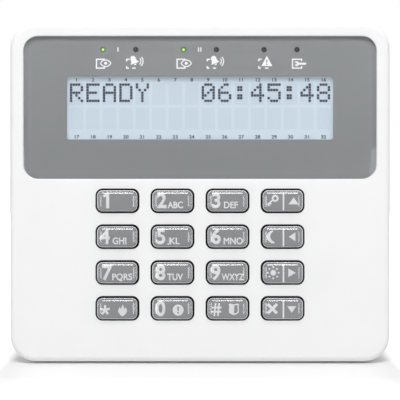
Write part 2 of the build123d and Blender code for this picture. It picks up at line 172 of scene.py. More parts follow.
def bumped(tree, shader, height, distance):
    """Raises the shader's surface by the height, up to the distance in metres."""
    bump = tree.nodes.new("ShaderNodeBump")
    bump.inputs["Distance"].default_value = distance
    tree.links.new(height, bump.inputs["Height"])
    tree.links.new(bump.outputs["Normal"], shader.inputs["Normal"])


def moulded(name, colour, roughness, grain=2600, relief=0.000012, variation=0.02):
    """A moulded surface: fine spark-eroded grain, slow changes of tone, uneven gloss."""
    material, tree, shader = blank_material(name)
    dark = [c * (1 - variation) for c in colour]
    light = [min(1.0, c * (1 + variation)) for c in colour]
    tree.links.new(tinted(tree, noise(tree, 45), dark, light), shader.inputs["Base Color"])
    grain_height = noise(tree, grain, 3)
    uneven = between(tree, grain_height, roughness - 0.05, roughness + 0.05)
    tree.links.new(uneven, shader.inputs["Roughness"])
    bumped(tree, shader, grain_height, relief)
    return material


def metal(name, colour, roughness):
    """Plated metal with fine scratches and slightly dulled patches."""
    material, tree, shader = blank_material(name)
    dark = [c * 0.82 for c in colour]
    tree.links.new(tinted(tree, noise(tree, 700, 3), dark, colour), shader.inputs["Base Color"])
    scratches = noise(tree, 3000, 4)
    uneven = between(tree, scratches, roughness - 0.08, roughness + 0.1)
    tree.links.new(uneven, shader.inputs["Roughness"])
    bumped(tree, shader, scratches, 0.000008)
    shader.inputs["Metallic"].default_value = 1.0
    return material


def clear(name, colour, index, roughness, shade, gloss=0.0):
    """Clear plastic whose shadows let this share of the light through, and its hard gloss coat."""
    material, tree, shader = blank_material(name)
    shader.inputs["Base Color"].default_value = (*colour, 1)
    shader.inputs["Transmission Weight"].default_value = 1.0
    shader.inputs["IOR"].default_value = index
    uneven = between(tree, noise(tree, 300), roughness * 0.6, roughness * 1.4)
    tree.links.new(uneven, shader.inputs["Roughness"])
    shader.inputs["Coat Weight"].default_value = gloss
    shader.inputs["Coat Roughness"].default_value = 0.03
    shader.inputs["Coat IOR"].default_value = 2.0
    path = tree.nodes.new("ShaderNodeLightPath")
    see_through = tree.nodes.new("ShaderNodeBsdfTransparent")
    see_through.inputs["Color"].default_value = (shade, shade, shade, 1)
    mix = tree.nodes.new("ShaderNodeMixShader")
    tree.links.new(path.outputs["Is Shadow Ray"], mix.inputs["Fac"])
    tree.links.new(shader.outputs["BSDF"], mix.inputs[1])
    tree.links.new(see_through.outputs["BSDF"], mix.inputs[2])
    tree.links.new(mix.outputs["Shader"], tree.nodes["Material Output"].inputs["Surface"])
    return material


def vector_steps(tree, value, steps):
    """The value after these (operation, operand) steps of vector arithmetic."""
    for operation, operand in steps:
        step = tree.nodes.new("ShaderNodeVectorMath")
        step.operation = operation
        if operand is not None:
            step.inputs[1].default_value = operand
        tree.links.new(value, step.inputs[0])
        value = step.outputs["Value" if operation == "LENGTH" else "Vector"]
    return value


def distance_outside(tree, middle, half):
    """How far a point lies outside the box with this middle and half size, in metres."""
    steps = (
        ("SUBTRACT", middle), ("ABSOLUTE", None), ("SUBTRACT", half), ("MAXIMUM", (0, 0, 0)),
        ("LENGTH", None),
    )
    return vector_steps(tree, position(tree), steps)


def multiplied(tree, colour, by):
    """The colour multiplied by another one, or by a grey."""
    mix = tree.nodes.new("ShaderNodeMix")
    mix.data_type = "RGBA"
    mix.blend_type = "MULTIPLY"
    mix.inputs["Factor"].default_value = 1.0
    tree.links.new(colour, mix.inputs["A"])
    tree.links.new(by, mix.inputs["B"])
    return mix.outputs["Result"]


def film_material():
    """Grey print with painted light: painted shade along its edge, a painted highlight in a thin paler
    line further in, and painted shade that darkens it downwards.
    """
    material, tree, shader = blank_material("grey_print")
    grey = Vector((0.186, 0.193, 0.199))
    corner = window_corner * mm
    straight = (film_high - film_low) * mm / 2 - Vector((corner, 0, corner))
    straight.y = 1.0
    inset = ranged(tree, distance_outside(tree, film_middle * mm, straight), (corner, 0), (0, 1))
    # painted shade along the window's rim, and a painted highlight line just inside it
    ramp = tree.nodes.new("ShaderNodeValToRGB")
    painted_rim_tones = [(0.0, 0.94), (0.25, 0.95), (0.36, 1.06), (0.48, 1.07), (0.56, 1.0), (1.0, 1.0)]
    while len(ramp.color_ramp.elements) < len(painted_rim_tones):
        ramp.color_ramp.elements.new(1.0)
    for element, (share, tone) in zip(ramp.color_ramp.elements, painted_rim_tones):
        element.position = share
        element.color = (*(grey * tone), 1)
    tree.links.new(inset, ramp.inputs["Fac"])
    parts = tree.nodes.new("ShaderNodeSeparateXYZ")
    tree.links.new(position(tree), parts.inputs["Vector"])
    # painted shade: darker towards the bottom, as under light from above
    fade = ranged(tree, parts.outputs["Z"], (film_low.z * mm, film_high.z * mm), (0.88, 1.07))
    cloud = tinted(tree, noise(tree, 45), (0.98, 0.98, 0.98), (1, 1, 1))
    colour = multiplied(tree, multiplied(tree, ramp.outputs["Color"], cloud), fade)
    tree.links.new(colour, shader.inputs["Base Color"])
    grain = noise(tree, 5000, 3)
    tree.links.new(between(tree, grain, 0.33, 0.43), shader.inputs["Roughness"])
    bumped(tree, shader, grain, 0.000003)
    return material


def led_material(name, edge, middle, glow):
    """A round lens whose middle is brighter than its edge, by the distance from its own axis; in a lit
    lamp that is its glow, in a dark one a painted highlight.
    """
    material, tree, shader = blank_material(name)
    steps = (("SUBTRACT", (0.5, 0.5, 0.5)), ("MULTIPLY", (1, 0, 1)), ("LENGTH", None))
    radius = vector_steps(tree, position(tree, "Generated"), steps)
    ramp = tree.nodes.new("ShaderNodeValToRGB")
    ramp.color_ramp.elements[0].position = 0.05
    ramp.color_ramp.elements[0].color = (*middle, 1)
    ramp.color_ramp.elements[1].position = 0.3
    ramp.color_ramp.elements[1].color = (*edge, 1)
    tree.links.new(radius, ramp.inputs["Fac"])
    tree.links.new(ramp.outputs["Color"], shader.inputs["Base Color"])
    tree.links.new(ramp.outputs["Color"], shader.inputs["Emission Color"])
    shader.inputs["Emission Strength"].default_value = glow
    shader.inputs["Roughness"].default_value = 0.25
    bumped(tree, shader, noise(tree, 3000), 0.000006)
    return material


def board_material():
    """Green solder resist over copper: fine straight tracks show through as paler green."""
    material, tree, shader = blank_material("solder_resist")
    tracks = tree.nodes.new("ShaderNodeTexBrick")
    tracks.inputs["Scale"].default_value = 260
    tracks.inputs["Mortar Size"].default_value = 0.035
    tracks.inputs["Mortar Smooth"].default_value = 0.1
    tracks.inputs["Brick Width"].default_value = 1.7
    tracks.inputs["Row Height"].default_value = 0.45
    turn = tree.nodes.new("ShaderNodeMapping")
    turn.inputs["Rotation"].default_value = (math.pi / 2, 0, 0)
    tree.links.new(position(tree), turn.inputs["Vector"])
    tree.links.new(turn.outputs["Vector"], tracks.inputs["Vector"])
    tracks.inputs["Color1"].default_value = (0.018, 0.115, 0.045, 1)
    tracks.inputs["Color2"].default_value = (0.022, 0.13, 0.052, 1)
    tracks.inputs["Mortar"].default_value = (0.045, 0.23, 0.085, 1)
    tree.links.new(tracks.outputs["Color"], shader.inputs["Base Color"])
    bumped(tree, shader, tracks.outputs["Fac"], 0.00004)
    tree.links.new(between(tree, noise(tree, 900, 3), 0.28, 0.4), shader.inputs["Roughness"])
    return material


case_plastic = moulded("case_plastic", (0.885, 0.885, 0.887), 0.42, variation=0.01)
hidden_plastic = moulded("case_plastic_rear", (0.80, 0.80, 0.80), 0.5, relief=0.00002)
grey_print = film_material()
key_print = moulded("key_print", (0.215, 0.219, 0.231), 0.35, grain=5000, relief=0.000003)
# painted highlight and painted shade for the two bands round each key core
key_painted_highlight = moulded("key_painted_highlight", (0.90, 0.90, 0.91), 0.4, grain=5000, relief=0.000003)
key_painted_shade = moulded("key_painted_shade", (0.12, 0.122, 0.13), 0.4, grain=5000, relief=0.000003)
white_ink = moulded("white_ink", (0.80, 0.805, 0.82), 0.45, grain=6000, relief=0.000004)
key_ink = moulded("key_ink", (0.86, 0.86, 0.87), 0.45, grain=6000, relief=0.000004)
# painted shade: near black for the deep gap round each key, on the openings' walls and the key cores'
# sides
gap_painted_shade = moulded("gap_painted_shade", (0.008, 0.008, 0.009), 0.7, grain=3000, relief=0.00001)
black_plastic = moulded("black_moulding", (0.022, 0.022, 0.024), 0.42)
chip_resin = moulded("chip_resin", (0.03, 0.03, 0.033), 0.55, grain=7000, relief=0.00002)
light_guide = moulded("light_guide", (0.82, 0.84, 0.86), 0.3)
contact_rubber = moulded("contact_rubber", (0.09, 0.09, 0.095), 0.7)
terminal_plastic = moulded("terminal_plastic", (0.03, 0.27, 0.10), 0.4)
silicone = moulded("silicone", (0.56, 0.58, 0.60), 0.5, grain=1800, relief=0.00002)
steel = metal("screw_steel", (0.62, 0.62, 0.60), 0.3)
brass = metal("contact_brass", (0.80, 0.60, 0.26), 0.25)
can_metal = metal("capacitor_can", (0.78, 0.78, 0.79), 0.28)
lens_clear = clear("clear_window", (0.97, 0.975, 0.98), 1.49, 0.02, 0.95)
key_clear = clear("key_clear", (0.98, 0.98, 0.985), 1.49, 0.03, 0.72, gloss=1.0)
led_lit = led_material("led_lit", (0.07, 0.26, 0.02), (0.62, 1.0, 0.22), 0.55)
# the dark lamp's paler middle is a painted highlight of its domed lens
led_dark = led_material("led_dark", (0.006, 0.006, 0.005), (0.02, 0.02, 0.014), 0.0)
solder_resist = board_material()
lcd_blue = moulded("display_glass", (0.42, 0.49, 0.54), 0.3, grain=5000, relief=0.000002, variation=0.01)
lcd_idle = moulded("display_dot_off", (0.38, 0.445, 0.50), 0.3, grain=5000, relief=0.000002)
lcd_dark = moulded("display_dot_on", (0.001, 0.003, 0.03), 0.3, grain=5000, relief=0.000002)
lcd_mark = moulded("display_number", (0.02, 0.03, 0.06), 0.4, grain=5000, relief=0.000002)
for lcd_material, glow in ((lcd_blue, 0.225), (lcd_idle, 0.22)):
    lcd_shader = lcd_material.node_tree.nodes["Principled BSDF"]
    lcd_shader.inputs["Emission Color"].default_value = (0.5, 0.6, 0.7, 1)
    lcd_shader.inputs["Emission Strength"].default_value = glow

# what the CAD nodes wear
cad_looks = {
    "rear_base": hidden_plastic, "snap_latches": hidden_plastic, "front_cover": case_plastic,
    "window_film": grey_print, "lcd_frame": light_guide, "lcd_glass": lcd_blue,
    "lcd_backlight": light_guide, "lcd_contact_strip": contact_rubber,
    "led_housing": black_plastic, "main_board": solder_resist, "board_screws": steel,
    "keypad_mat": silicone, "key_backlight_leds": light_guide, "terminal_block": terminal_plastic,
    "terminal_screws": steel, "buzzer": black_plastic, "processor": chip_resin,
    "driver_chips": chip_resin, "chip_parts": chip_resin, "capacitors": can_metal,
    "service_header": black_plastic, "service_header_pins": brass,
    "tamper_switch": black_plastic, "tamper_plunger": light_guide,
}
for led_name in led_names:
    cad_looks[f"led_{led_name}"] = led_lit if led_name.startswith("armed") else led_dark
for node_name, look in cad_looks.items():
    node_mesh = nodes[node_name].data
    node_mesh.materials.clear()
    node_mesh.materials.append(look)


# ---------------------------------------------------------------- shapes
def rounded_rectangle(width, height, corner, middle):
    """Points round a rounded rectangle, anticlockwise as seen from the front."""
    points = []
    corner_steps = 8
    for quarter, (side_x, side_z) in enumerate(((1, 1), (-1, 1), (-1, -1), (1, -1))):
        centre_x = middle[0] + side_x * (width / 2 - corner)
        centre_z = middle[1] + side_z * (height / 2 - corner)
        points += arc((centre_x, centre_z), corner, 90 * quarter, 90 * quarter + 90, corner_steps)
    return points


def arc(middle, radius, start, end, steps=24):
    """Points along an arc, with its angles in degrees from +X towards +Z."""
    points = []
    for step in range(steps + 1):
        angle = math.radians(start + (end - start) * step / steps)
        points.append((middle[0] + radius * math.cos(angle), middle[1] + radius * math.sin(angle)))
    return points


def disc(middle, radius, steps=24):
    """Points round a full circle."""
    return arc(middle, radius, 0, 360 - 360 / steps, steps - 1)


def turned(points, degrees, middle=(0, 0)):
    """The points turned about the middle and kept there."""
    cosine = math.cos(math.radians(degrees))
    sine = math.sin(math.radians(degrees))
    result = []
    for x, z in points:
        away_x, away_z = x - middle[0], z - middle[1]
        turned_x = away_x * cosine - away_z * sine
        turned_z = away_x * sine + away_z * cosine
        result.append((middle[0] + turned_x, middle[1] + turned_z))
    return result


def stroke(points, width, closed=False):
    """The outlines of a line of this width along the points, with mitred corners."""
    count = len(points)
    left, right = [], []
    for i, (x, z) in enumerate(points):
        before = points[i - 1] if i > 0 or closed else None
        after = points[(i + 1) % count] if i < count - 1 or closed else None
        normals = []
        for first, second in ((before, (x, z)), ((x, z), after)):
            if first is None or second is None:
                continue
            run = math.hypot(second[0] - first[0], second[1] - first[1])
            normals.append((-(second[1] - first[1]) / run, (second[0] - first[0]) / run))
        sum_x = sum(n[0] for n in normals)
        sum_z = sum(n[1] for n in normals)
        scale = len(normals) * width / 2 / (sum_x * sum_x + sum_z * sum_z)
        left.append((x + sum_x * scale, z + sum_z * scale))
        right.append((x - sum_x * scale, z - sum_z * scale))
    if closed:
        return [left, right]
    return [left + right[::-1]]


def flat_mesh(loops, front):
    """A thin plate with these outlines, nested ones being holes, and its face at this depth."""
    curve = bpy.data.curves.new("outline", "CURVE")
    curve.dimensions = "2D"
    curve.fill_mode = "BOTH"
    curve.extrude = ink_thickness / 2
    for loop in loops:
        spline = curve.splines.new("POLY")
        spline.points.add(len(loop) - 1)
        for point, (x, z) in zip(spline.points, loop):
            point.co = (x, z, 0, 1)
        spline.use_cyclic_u = True
    return stand_up(curve, front - ink_thickness / 2, 1.0)


def printed(shapes, front):
    """A plate for each shape, every next one a hair lower, so that crossing shapes stay clean."""
    step = 0.002
    return [flat_mesh(shape, front - step * i) for i, shape in enumerate(shapes)]


def text_mesh(text, height, middle_x, base_z, front, stretch=1.0, bold=0.03, thickness=ink_thickness):
    """Bold capitals or digits as a thin plate, centred on middle_x and stretched sideways.

    bold is how far the strokes are thickened each way, as a share of the font's size.
    """
    cap_height = 0.69 + 2 * bold
    size = height / cap_height
    curve = bpy.data.curves.new("text", "FONT")
    curve.body = text
    curve.size = size
    curve.align_x = "CENTER"
    curve.bevel_depth = bold * size
    curve.bevel_resolution = 0
    curve.offset_y = base_z + bold * size
    mesh = stand_up(curve, front - thickness / 2, thickness / (2 * bold * size))
    for vertex in mesh.vertices:
        vertex.co.x = vertex.co.x * stretch + middle_x * mm
    return mesh


def stand_up(curve, depth, flattening):
    """The curve's mesh, turned to face the front at this depth, in metres."""
    holder = bpy.data.objects.new("holder", curve)
    bpy.context.scene.collection.objects.link(holder)
    mesh = bpy.data.meshes.new_from_object(holder)
    bpy.data.objects.remove(holder)
    bpy.data.curves.remove(curve)
    for vertex in mesh.vertices:
        x, z, thick = vertex.co
        vertex.co = Vector((x, -depth - thick * flattening, z)) * mm
    return mesh


def piece(name, meshes, looks, body, smooth=False):
    """One object from these meshes, riding on the body and taking the slot's finish."""
    joined = bmesh.new()
    for mesh in meshes:
        joined.from_mesh(mesh)
        bpy.data.meshes.remove(mesh)
    bmesh.ops.remove_doubles(joined, verts=joined.verts, dist=1e-8)
    bmesh.ops.recalc_face_normals(joined, faces=joined.faces)
    result = bpy.data.meshes.new(name)
    joined.to_mesh(result)
    joined.free()
    for look in looks:
        result.materials.append(look)
    if smooth:
        result.polygons.foreach_set("use_smooth", [True] * len(result.polygons))
        result.set_sharp_from_angle(angle=math.radians(35))
    made = bpy.data.objects.new(name, result)
    bpy.context.scene.collection.objects.link(made)
    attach(made, body)
    return made


def lofted(rings, bands=()):
    """A closed mesh through (outline, depth) rings from the back to the front.

    bands gives the material number of each band between rings, and last of the front face.
    """
    count = len(rings[0][0])
    vertices = []
    for outline, depth in rings:
        vertices += [(x * mm, -depth * mm, z * mm) for x, z in outline]
    faces = [tuple(range(count))]
    for ring in range(len(rings) - 1):
        for i in range(count):
            a, b = ring * count + i, ring * count + (i + 1) % count
            faces.append((a, a + count, b + count, b))
    last = (len(rings) - 1) * count
    faces.append(tuple(range(last + count - 1, last - 1, -1)))
    mesh = bpy.data.meshes.new("loft")
    mesh.from_pydata(vertices, [], faces)
    for band, look in enumerate(bands):
        for i in range(count if band < len(rings) - 1 else 1):
            mesh.polygons[1 + band * count + i].material_index = look
    return mesh


def ring_profile(width, height, corner, middle, profile):
    """Rings of a rounded rectangle that shrinks by each inset, at each depth."""
    rings = []
    for inset, depth in profile:
        sharpened = max(corner - inset, 0.05)
        outline = rounded_rectangle(width - 2 * inset, height - 2 * inset, sharpened, middle)
        rings.append((outline, depth))
    return rings


def quarter_round(inset, depth, radius):
    """Profile points of a rounded edge that starts at this inset and depth and turns inwards."""
    points = []
    steps = 5
    for step in range(steps + 1):
        angle = math.pi / 2 * step / steps
        points.append((inset + radius * (1 - math.cos(angle)), depth + radius * math.sin(angle)))
    return points


def crown_profile(inset, depth, top):
    """Profile points of the slope from a key's rim to its raised middle, steepest at its foot."""
    points = [(inset - 0.05, depth), (inset, depth)]
    climbed = [0.0]
    steps = 8
    for step in range(steps):
        share = (step + 0.5) / steps
        tilt = math.radians(key_slope_foot + (key_slope_top - key_slope_foot) * share)
        climbed.append(climbed[-1] + math.tan(tilt))
    for step in range(1, steps + 1):
        rise = (top - depth) * climbed[step] / climbed[-1]
        points.append((inset + key_slope_width * step / steps, depth + rise))
    points.append((inset + key_slope_width + 0.15, top))
    return points


# ---------------------------------------------------------------- window
def window_lens():
    """The clear window: a flat middle inside a softly rounded rim."""
    width, height = lens_high.x - lens_low.x, lens_high.z - lens_low.z
    rim_foot = lens_rim_side + lens_edge
    profile = [(0, lens_back), (0, lens_rim_side), (lens_edge, rim_foot)]
    rim_steps = 12
    for step in range(1, rim_steps + 1):
        share = step / rim_steps
        rise = (lens_front - rim_foot) * math.sin(math.pi / 2 * share)
        profile.append((lens_edge + lens_rim_width * share, rim_foot + rise))
    rings = ring_profile(width, height, window_corner, (lens_middle.x, lens_middle.z), profile)
    mesh = lofted(rings)
    lens = piece("window_lens", [mesh], [lens_clear], "cover", smooth=True)
    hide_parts("display_window")


window_lens()


# ---------------------------------------------------------------- keys
def bars(places, width):
    """Straight strokes, each from one point to another."""
    return [stroke([start, end], width) for start, end in places]


def flame():
    """A flame with three tongues."""
    return [[[
        (0.0, -2.1), (-0.75, -1.75), (-1.4, -1.05), (-1.65, -0.3), (-1.45, 0.4), (-1.05, 1.15),
        (-0.8, 0.45), (-0.45, 0.9), (0.1, 2.1), (0.4, 1.2), (0.6, 0.35), (1.2, 1.05), (1.6, 0.0),
        (1.45, -0.8), (0.95, -1.5),
    ]]]


def moon():
    """A crescent that bulges to the left."""
    outer = arc((0.35, 0), 2.25, 95, 285)
    inner = arc((1.35, 0.15), 2.0, 250, 118)
    return [[outer + inner]]


def sun():
    """A disc with eight round rays."""
    shapes = [[disc((0, 0), 1.03)]]
    for ray in range(8):
        angle = math.radians(45 * ray)
        shapes.append([disc((1.96 * math.cos(angle), 1.96 * math.sin(angle)), 0.33, 12)])
    return shapes


def shield():
    """A shield with its left half filled."""
    half = [
        (0, 1.75), (-0.75, 1.95), (-1.35, 2.05), (-1.9, 1.85), (-1.7, 1.2), (-1.8, -0.3),
        (-1.7, -1.3), (-1.0, -1.75), (0, -2.05),
    ]
    right = [(-x, z) for x, z in half[1:-1]][::-1]
    outline = half + right
    hole = [(x * 0.72 + 0.12, z * 0.76) for x, z in [half[-1]] + right + [half[0]]]
    return [[outline, hole]]


def notice():
    """A disc with an exclamation mark cut out of it."""
    mark = [(-0.36, 1.25), (0.36, 1.25), (0.2, -0.35), (-0.2, -0.35)]
    return [[disc((0, 0), 2.0), mark, disc((0, -0.95), 0.33, 12)]]


def key_sign():
    """A door key: a ring, a shaft down to the left, and two bits."""
    shaft = bars(
        [((-0.85, -0.55), (-2.75, -2.3)), ((-2.0, -1.65), (-1.45, -2.15)),
         ((-2.6, -2.2), (-2.1, -2.75))],
        0.55,
    )
    return [[disc((0, 0), 1.27), disc((0, 0), 0.6, 16)]] + shaft


def arms(count, reach, width, first):
    """Equal arms from one middle, the first at this many degrees, as a single outline."""
    half = width / 2
    crotch = half / math.sin(math.pi / count)
    points = []
    for arm in range(count):
        angle = first + 360 * arm / count
        points += turned([(reach, -half), (reach, half)], angle)
        between_arms = math.radians(angle + 180 / count)
        points.append((crotch * math.cos(between_arms), crotch * math.sin(between_arms)))
    return [[points]]


def hash_sign():
    """Two leaning uprights crossed by two bars."""
    return bars(
        [((-0.95, -2.25), (-0.45, 2.25)), ((0.35, -2.25), (0.85, 2.25)),
         ((-1.75, 0.72), (1.75, 0.72)), ((-1.85, -0.78), (1.6, -0.78))],
        0.62,
    )


def triangle(width, height, degrees):
    """A filled triangle that points up before it is turned."""
    points = [(-width / 2, -height / 2), (width / 2, -height / 2), (0, height / 2)]
    return [[turned(points, degrees)]]


def moved(shapes, place):
    """The shapes moved so that their origin lies at this place."""
    return [[[(x + place[0], z + place[1]) for x, z in loop] for loop in shape] for shape in shapes]


def figure_one():
    """The digit 1: a stem with a short flag to the left."""
    return [[[
        (-0.12, -2.6), (1.02, -2.6), (1.02, 2.8), (0.25, 2.8), (-1.25, 2.0), (-0.95, 1.2), (-0.12, 1.6),
    ]]]


def letter_j():
    """A J that stands on its base line: a stem that hooks to the left at its foot."""
    hook = arc((-0.28, -0.73), 0.42, -150, 0, 10)
    return [stroke([*hook, (0.14, 1.17)], 0.40)]


# for each key: the digit's middle, the letters, their middle and how far they are stretched
key_letters = {
    "2": (-3.83, "ABC", 1.12, 0.92), "3": (-4.05, "DEF", 1.12, 0.97),
    "4": (-4.4, "GHI", 0.9, 0.98), "5": (-4.1, "KL", 0.76, 1.03), "6": (-4.2, "MNO", 2.0, 0.96),
    "7": (-3.75, "PQRS", 1.75, 0.98), "8": (-4.25, "TUV", 0.95, 0.93), "9": (-4.3, "WXYZ", 1.85, 0.84),
    "0": (-4.3, "", 0, 1),
}
# for each key: its signs and the place of each on the key
key_signs = {
    "1": [(figure_one(), (-3.9, 0.0))],
    "5": [(letter_j(), (-1.15, -1.43))],
    "star": [(arms(5, 1.8, 0.8, 90), (-4.35, -0.5)), (flame(), (2.0, -0.5))],
    "0": [(notice(), (2.1, -0.45))],
    "hash": [(hash_sign(), (-3.9, -0.3)), (shield(), (2.25, -0.2))],
    "up": [(key_sign(), (-2.8, 0.9)), (triangle(3.7, 2.57, 0), (3.9, 0.0))],
    "left": [(moon(), (-3.9, 0.0)), (triangle(3.2, 2.5, 90), (3.3, 0.0))],
    "right": [(sun(), (-3.5, 0.0)), (triangle(3.2, 2.7, -90), (3.3, 0.0))],
    "down": [(arms(4, 2.35, 1.05, 45), (-3.8, 0.0)), (triangle(3.2, 2.45, 180), (3.2, -0.3))],
}


def make_key(key):
    """A clear cap over a grey core with its white legend, all riding on the key's body."""
    node = f"key_{key}"
    low, high, middle_point = in_mm(node)
    middle = (middle_point.x, middle_point.z)
    width = high.x - low.x - 2 * key_flange
    height = high.z - low.z - 2 * key_flange
    flange_back, top = -high.y, -low.y

    profile = [(0, key_core_back + 0.05)]
    profile += quarter_round(0, key_rim_depth - key_edge_radius, key_edge_radius)
    profile += crown_profile(key_rim_width, key_rim_depth, top)
    cap_mesh = lofted(ring_profile(width, height, key_corner, middle, profile))
    cap = piece(f"{node}_cap", [cap_mesh], [key_clear], node, smooth=True)
    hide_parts(node)

    # the pale band is a painted highlight and the dark band a painted shade line
    shade_band_start, shade_band_end = key_shade_band
    core_profile = [
        (-key_flange, flange_back), (-key_flange, key_core_back), (key_core_inset, key_core_back),
        (key_core_inset, key_core_shoulder), key_highlight_band_end, (shade_band_start, key_print_depth),
        (shade_band_end, key_print_depth),
    ]
    core_rings = ring_profile(width, height, key_corner, middle, core_profile)
    core_mesh = lofted(core_rings, [0, 0, 0, 0, 1, 2, 3])
    core_looks = [gap_painted_shade, key_painted_highlight, key_painted_shade, key_print]
    piece(f"{node}_core", [core_mesh], core_looks, node)

    inks = []
    ink_front = key_print_depth + ink_thickness
    if key in key_letters:
        digit_x, letters, letters_x, stretch = key_letters[key]
        base = middle[1] + legend_base
        inks.append(text_mesh(key, digit_height, middle[0] + digit_x, base, ink_front, bold=0.035))
        if letters:
            letters_at = middle[0] + letters_x
            inks.append(text_mesh(letters, letter_height, letters_at, base, ink_front, stretch))
    for shapes, place in key_signs.get(key, []):
        at = (middle[0] + place[0], middle[1] + place[1])
        inks += printed(moved(shapes, at), ink_front)
    if key in ("up", "left", "right", "down"):
        inks += printed(moved(bars([((0.2, -3.4), (0.2, 3.0))], 0.6), middle), ink_front)
    piece(f"{node}_print", inks, [key_ink], node)


for key_row in key_names:
    for key in key_row:
        make_key(key)


# ---------------------------------------------------------------- display
glyphs = {
    "R": ("####.", "#...#", "#...#", "####.", "#.#..", "#..#.", "#...#"),
    "E": ("#####", "#....", "#....", "####.", "#....", "#....", "#####"),
    "A": (".###.", "#...#", "#...#", "#####", "#...#", "#...#", "#...#"),
    "D": ("####.", "#...#", "#...#", "#...#", "#...#", "#...#", "####."),
    "Y": ("#...#", "#...#", ".#.#.", "..#..", "..#..", "..#..", "..#.."),
    "0": (".###.", "#...#", "#..##", "#.#.#", "##..#", "#...#", ".###."),
    "4": ("...#.", "..##.", ".#.#.", "#..#.", "#####", "...#.", "...#."),
    "5": ("#####", "#....", "####.", "....#", "....#", "#...#", ".###."),
    "6": ("..##.", ".#...", "#....", "####.", "#...#", "#...#", ".###."),
    "8": (".###.", "#...#", "#...#", ".###.", "#...#", "#...#", ".###."),
    ":": (".....", ".##..", ".##..", ".....", ".##..", ".##..", "....."),
    " ": (".....",) * 7,
}
display_rows = ["READY   06:45:48", " " * cell_count]


def dot_plate(mesh, x, z, front):
    """Adds one square display dot to a bmesh."""
    half = dot_size / 2
    corners = [(x - half, z - half), (x + half, z - half), (x + half, z + half), (x - half, z + half)]
    back = [mesh.verts.new((a * mm, -(front - dot_thickness) * mm, b * mm)) for a, b in corners]
    face = [mesh.verts.new((a * mm, -front * mm, b * mm)) for a, b in corners]
    mesh.faces.new(back)
    mesh.faces.new(face[::-1])
    for i in range(4):
        mesh.faces.new((back[i], face[i], face[(i + 1) % 4], back[(i + 1) % 4]))


def display_dots():
    """Every dot of both rows, the written ones dark and the rest barely darker than the glass."""
    dots = {True: bmesh.new(), False: bmesh.new()}
    fronts = {True: glass_front + 2 * dot_thickness, False: glass_front + dot_thickness}
    for row, text in enumerate(display_rows):
        for column, letter in enumerate(text):
            cell_x = (column - (cell_count - 1) / 2) * cell_pitch
            for line, dashes in enumerate(glyphs[letter] + (".....",)):
                for place, mark in enumerate(dashes):
                    x = cell_x + (place - 2) * dot_pitch
                    z = first_row_top - row * row_pitch - (line + 0.5) * dot_pitch
                    lit = mark == "#"
                    dot_plate(dots[lit], x, z, fronts[lit])
    looks = ((True, "display_text", lcd_dark), (False, "display_idle_dots", lcd_idle))
    for lit, name, look in looks:
        mesh = bpy.data.meshes.new(name)
        dots[lit].to_mesh(mesh)
        dots[lit].free()
        piece(name, [mesh], [look], "cover")


def display_numbers():
    """The small column numbers above the upper row and below the lower one."""
    meshes = []
    for number in range(1, 2 * cell_count + 1):
        row, column = divmod(number - 1, cell_count)
        x = (column - (cell_count - 1) / 2) * cell_pitch
        base = number_bases[row]
        front = glass_front + 0.03
        meshes.append(text_mesh(str(number), number_height, x, base, front, 1.15, thickness=0.02))
    piece("display_numbers", meshes, [lcd_mark], "cover")


display_dots()
display_numbers()


# ---------------------------------------------------------------- signs printed over the display
def eye_sign():
    """A frame open to the right with an eye looking out of it."""
    bracket = stroke(
        [(0.5, 1.15), (0.5, 1.61), (-2.35, 1.61), (-2.35, -1.61), (0.5, -1.61), (0.5, -1.2)],
        sign_line,
    )
    middle_x, half_width, half_height = 0.98, 1.85, 1.2
    radius = (half_width ** 2 + half_height ** 2) / (2 * half_height)
    spread = math.degrees(math.asin(half_width / radius))
    upper = arc((middle_x, 0.15 + half_height - radius), radius, 90 + spread, 90 - spread, 10)
    lower = arc((middle_x, 0.15 - half_height + radius), radius, -90 + spread, -90 - spread, 10)
    lids = stroke(upper + lower[1:-1], thin_line, closed=True)
    return [bracket, lids, [disc((middle_x, 0.15), 0.55, 16)]]


def frame_corners(left, dash):
    """The left corners of a square frame, and a dash in its lower edge."""
    return [
        stroke([(left, 0.85), (left, 1.61), (left + 1.1, 1.61)], sign_line),
        stroke([(left, -0.85), (left, -1.61), (left + 0.8, -1.61)], sign_line),
        stroke([(dash[0], -1.61), (dash[1], -1.61)], sign_line),
    ]


def bell_sign():
    """A tilted bell ringing in a broken frame."""
    mouth = (-0.38, 0.14)
    body = (
        [(-1.7, 0.0), (-1.2, 0.55), (-1.0, 1.2)]
        + arc((0, 1.9), 0.95, 180, 0, 12)
        + [(1.0, 1.2), (1.2, 0.55), (1.7, 0.0)]
    )
    clapper = arc((0, -0.2), 0.48, 180, 360, 10)
    tilted = [
        turned([(x + mouth[0], z + mouth[1]) for x, z in outline], 20, mouth)
        for outline in (body, clapper)
    ]
    sounds = [stroke(arc((0.33, 0.9), radius, -48, 42, 10), thin_line) for radius in (1.5, 2.3)]
    return frame_corners(-3.35, (-1.3, -0.1)) + [[outline] for outline in tilted] + sounds


def warning_sign():
    """A triangle with an exclamation mark cut out, over a broken frame."""
    outer = [(-1.05, -0.88), (3.0, -0.88), (0.97, 2.85)]
    mark = [(0.7, 1.45), (1.24, 1.45), (1.13, 0.3), (0.81, 0.3)]
    return frame_corners(-1.95, (0.3, 1.6)) + [[outer, mark, disc((0.97, -0.25), 0.26, 12)]]


def wrench_sign():
    """A frame with a gap on its right and a spanner lying in it."""
    bracket = stroke(
        [(1.65, 0.9), (1.65, 1.61), (-1.65, 1.61), (-1.65, -1.61), (1.65, -1.61), (1.65, -0.9)],
        sign_line,
    )
    head = arc((-0.16, 0), 0.9, 205, 515, 20)
    jaw = [(-0.45, 0.3), (0.05, 0), (-0.45, -0.3)]
    handle = stroke([(0.3, 0), (3.3, 0)], 0.74)
    return [bracket, [head + jaw], handle]


led_middles = {name: in_mm(f"led_{name}")[2] for name in led_names}
signs = {
    "armed_1": eye_sign(), "alarm_1": bell_sign(), "armed_2": eye_sign(), "alarm_2": bell_sign(),
    "trouble": warning_sign(), "service": wrench_sign(),
}


